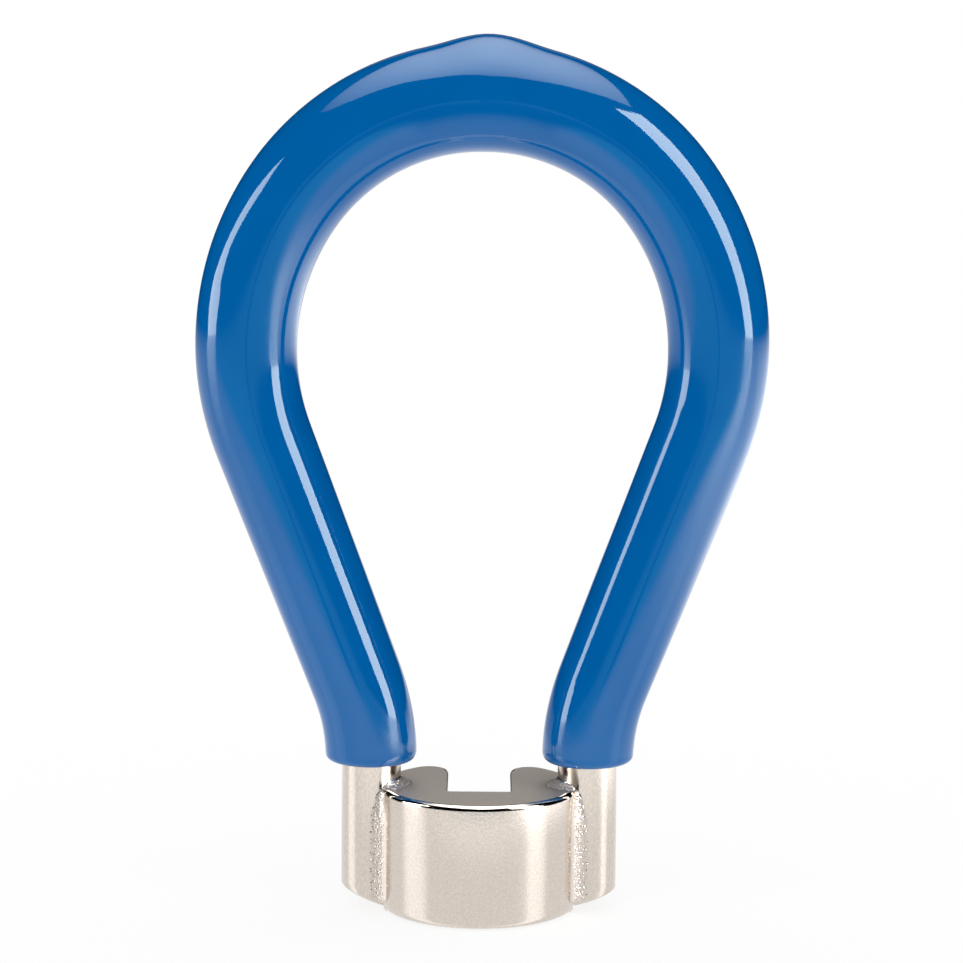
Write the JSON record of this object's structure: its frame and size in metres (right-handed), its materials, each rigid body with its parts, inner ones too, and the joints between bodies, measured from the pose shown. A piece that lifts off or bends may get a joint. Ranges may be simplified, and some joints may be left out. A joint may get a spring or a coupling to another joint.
{
  "type": "spoke wrench",
  "caption": "Bicycle spoke wrench: a round slotted steel jaw welded to the ends of a bent wire bow, whose loop is dipped in blue vinyl as a finger grip.",
  "frame": {"origin": "on the axis of the spoke nipple held in the slot, in the plane of the jaw's flat base", "axes": "+Z from the jaw up to the bow's crown, along the nipple; +Y out of the slot's open mouth; +X across the bow to the right, seen from the jaw's closed front"},
  "size_m": [0.0378, 0.012, 0.0582],
  "materials": {
    "jaw_nickel": "satin nickel plate over hardened steel",
    "wire_nickel": "satin nickel plate over steel wire",
    "weld_nickel": "rough weld metal under nickel plate",
    "blue_vinyl": "glossy dipped vinyl"
  },
  "bodies": {
    "root": {"jaw": "jaw_nickel", "wire_bow": "wire_nickel", "vinyl_grip": "blue_vinyl", "weld_front_left": "weld_nickel", "weld_front_right": "weld_nickel", "weld_rear_left": "weld_nickel", "weld_rear_right": "weld_nickel", "weld_top_left": "weld_nickel", "weld_top_right": "weld_nickel"}
  },
  "joints": []
}
